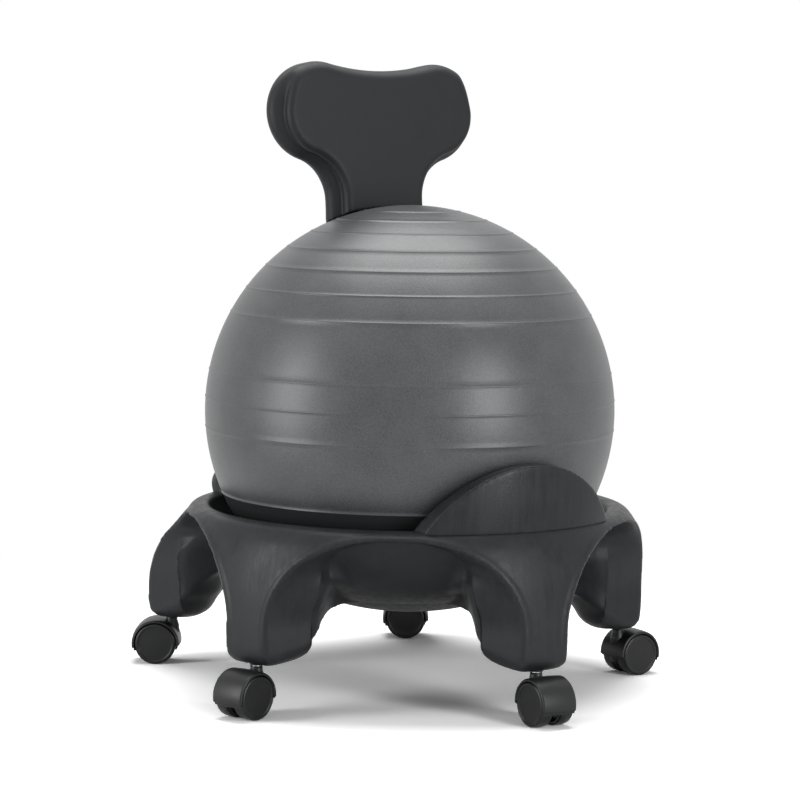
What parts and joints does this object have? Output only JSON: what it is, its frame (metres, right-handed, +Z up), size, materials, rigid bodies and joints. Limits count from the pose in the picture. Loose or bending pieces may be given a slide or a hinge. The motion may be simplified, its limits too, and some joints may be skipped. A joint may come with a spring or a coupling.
{
  "type": "balance ball chair",
  "caption": "Inflated exercise ball held in a low star-shaped caster base with a small T-shaped backrest on a curved arm and a raised front shield.",
  "frame": {"origin": "on the floor, on the upright axis of the base's bowl and the ball", "axes": "+Z up, -Y toward the chair's front, +X to the right seen from the front"},
  "size_m": [0.6532, 0.6569, 0.7901],
  "materials": {
    "base_plastic": "blow-moulded charcoal polyethylene, satin",
    "ball_vinyl": "grey PVC with a fine grain and raised ribs",
    "plug_plastic": "smooth moulded",
    "caster_nylon": "black moulded nylon",
    "wheel_nylon": "black moulded nylon",
    "stem_steel": "zinc-plated",
    "bolt_steel": "zinc-plated",
    "socket_plastic": "moulded nylon sleeve"
  },
  "bodies": {
    "base": {"base_shell": "base_plastic", "front_shield": "base_plastic", "backrest": "base_plastic", "shield_bolts": "bolt_steel", "backrest_bolts": "bolt_steel", "front_socket": "socket_plastic", "right_socket": "socket_plastic", "rear_right_socket": "socket_plastic", "rear_left_socket": "socket_plastic", "left_socket": "socket_plastic"},
    "ball": {"ball": "ball_vinyl", "ball_plug": "plug_plastic"},
    "front_swivel": {"front_caster_stem": "stem_steel", "front_grip_ring": "stem_steel", "front_caster_housing": "caster_nylon", "front_caster_axle": "stem_steel"},
    "front_wheel_left_body": {"front_wheel_left": "wheel_nylon"},
    "front_wheel_right_body": {"front_wheel_right": "wheel_nylon"},
    "right_swivel": {"right_caster_stem": "stem_steel", "right_grip_ring": "stem_steel", "right_caster_housing": "caster_nylon", "right_caster_axle": "stem_steel"},
    "right_wheel_left_body": {"right_wheel_left": "wheel_nylon"},
    "right_wheel_right_body": {"right_wheel_right": "wheel_nylon"},
    "rear_right_swivel": {"rear_right_caster_stem": "stem_steel", "rear_right_grip_ring": "stem_steel", "rear_right_caster_housing": "caster_nylon", "rear_right_caster_axle": "stem_steel"},
    "rear_right_wheel_left_body": {"rear_right_wheel_left": "wheel_nylon"},
    "rear_right_wheel_right_body": {"rear_right_wheel_right": "wheel_nylon"},
    "rear_left_swivel": {"rear_left_caster_stem": "stem_steel", "rear_left_grip_ring": "stem_steel", "rear_left_caster_housing": "caster_nylon", "rear_left_caster_axle": "stem_steel"},
    "rear_left_wheel_left_body": {"rear_left_wheel_left": "wheel_nylon"},
    "rear_left_wheel_right_body": {"rear_left_wheel_right": "wheel_nylon"},
    "left_swivel": {"left_caster_stem": "stem_steel", "left_grip_ring": "stem_steel", "left_caster_housing": "caster_nylon", "left_caster_axle": "stem_steel"},
    "left_wheel_left_body": {"left_wheel_left": "wheel_nylon"},
    "left_wheel_right_body": {"left_wheel_right": "wheel_nylon"}
  },
  "joints": [
    {"name": "ball_turn", "type": "hinge", "parent": "base", "child": "ball", "pos_m": [0, 0, 0.351], "axis": [0, 0, 1], "continuous": true},
    {"name": "front_swivel_turn", "type": "hinge", "parent": "base", "child": "front_swivel", "pos_m": [0, -0.286, 0.0615], "axis": [0, 0, 1], "continuous": true},
    {"name": "front_wheel_left_roll", "type": "hinge", "parent": "front_swivel", "child": "front_wheel_left_body", "pos_m": [0, -0.306, 0.027], "axis": [1, 0, 0], "continuous": true},
    {"name": "front_wheel_right_roll", "type": "hinge", "parent": "front_swivel", "child": "front_wheel_right_body", "pos_m": [0, -0.306, 0.027], "axis": [1, 0, 0], "continuous": true},
    {"name": "right_swivel_turn", "type": "hinge", "parent": "base", "child": "right_swivel", "pos_m": [0.272, -0.08838, 0.0615], "axis": [0, 0, 1], "continuous": true},
    {"name": "right_wheel_left_roll", "type": "hinge", "parent": "right_swivel", "child": "right_wheel_left_body", "pos_m": [0.292, -0.08838, 0.027], "axis": [0, 1, 0], "continuous": true},
    {"name": "right_wheel_right_roll", "type": "hinge", "parent": "right_swivel", "child": "right_wheel_right_body", "pos_m": [0.292, -0.08838, 0.027], "axis": [0, 1, 0], "continuous": true},
    {"name": "rear_right_swivel_turn", "type": "hinge", "parent": "base", "child": "rear_right_swivel", "pos_m": [0.19632, 0.27021, 0.0615], "axis": [0, 0, 1], "continuous": true},
    {"name": "rear_right_wheel_left_roll", "type": "hinge", "parent": "rear_right_swivel", "child": "rear_right_wheel_left_body", "pos_m": [0.17955, 0.2811, 0.027], "axis": [-0.5446, -0.8387, 0], "continuous": true},
    {"name": "rear_right_wheel_right_roll", "type": "hinge", "parent": "rear_right_swivel", "child": "rear_right_wheel_right_body", "pos_m": [0.17955, 0.2811, 0.027], "axis": [-0.5446, -0.8387, 0], "continuous": true},
    {"name": "rear_left_swivel_turn", "type": "hinge", "parent": "base", "child": "rear_left_swivel", "pos_m": [-0.19632, 0.27021, 0.0615], "axis": [0, 0, 1], "continuous": true},
    {"name": "rear_left_wheel_left_roll", "type": "hinge", "parent": "rear_left_swivel", "child": "rear_left_wheel_left_body", "pos_m": [-0.21309, 0.2811, 0.027], "axis": [-0.5446, -0.8387, 0], "continuous": true},
    {"name": "rear_left_wheel_right_roll", "type": "hinge", "parent": "rear_left_swivel", "child": "rear_left_wheel_right_body", "pos_m": [-0.21309, 0.2811, 0.027], "axis": [-0.5446, -0.8387, 0], "continuous": true},
    {"name": "left_swivel_turn", "type": "hinge", "parent": "base", "child": "left_swivel", "pos_m": [-0.272, -0.08838, 0.0615], "axis": [0, 0, 1], "continuous": true},
    {"name": "left_wheel_left_roll", "type": "hinge", "parent": "left_swivel", "child": "left_wheel_left_body", "pos_m": [-0.29123, -0.09389, 0.027], "axis": [0.2756, -0.9613, 0], "continuous": true},
    {"name": "left_wheel_right_roll", "type": "hinge", "parent": "left_swivel", "child": "left_wheel_right_body", "pos_m": [-0.29123, -0.09389, 0.027], "axis": [0.2756, -0.9613, 0], "continuous": true}
  ]
}
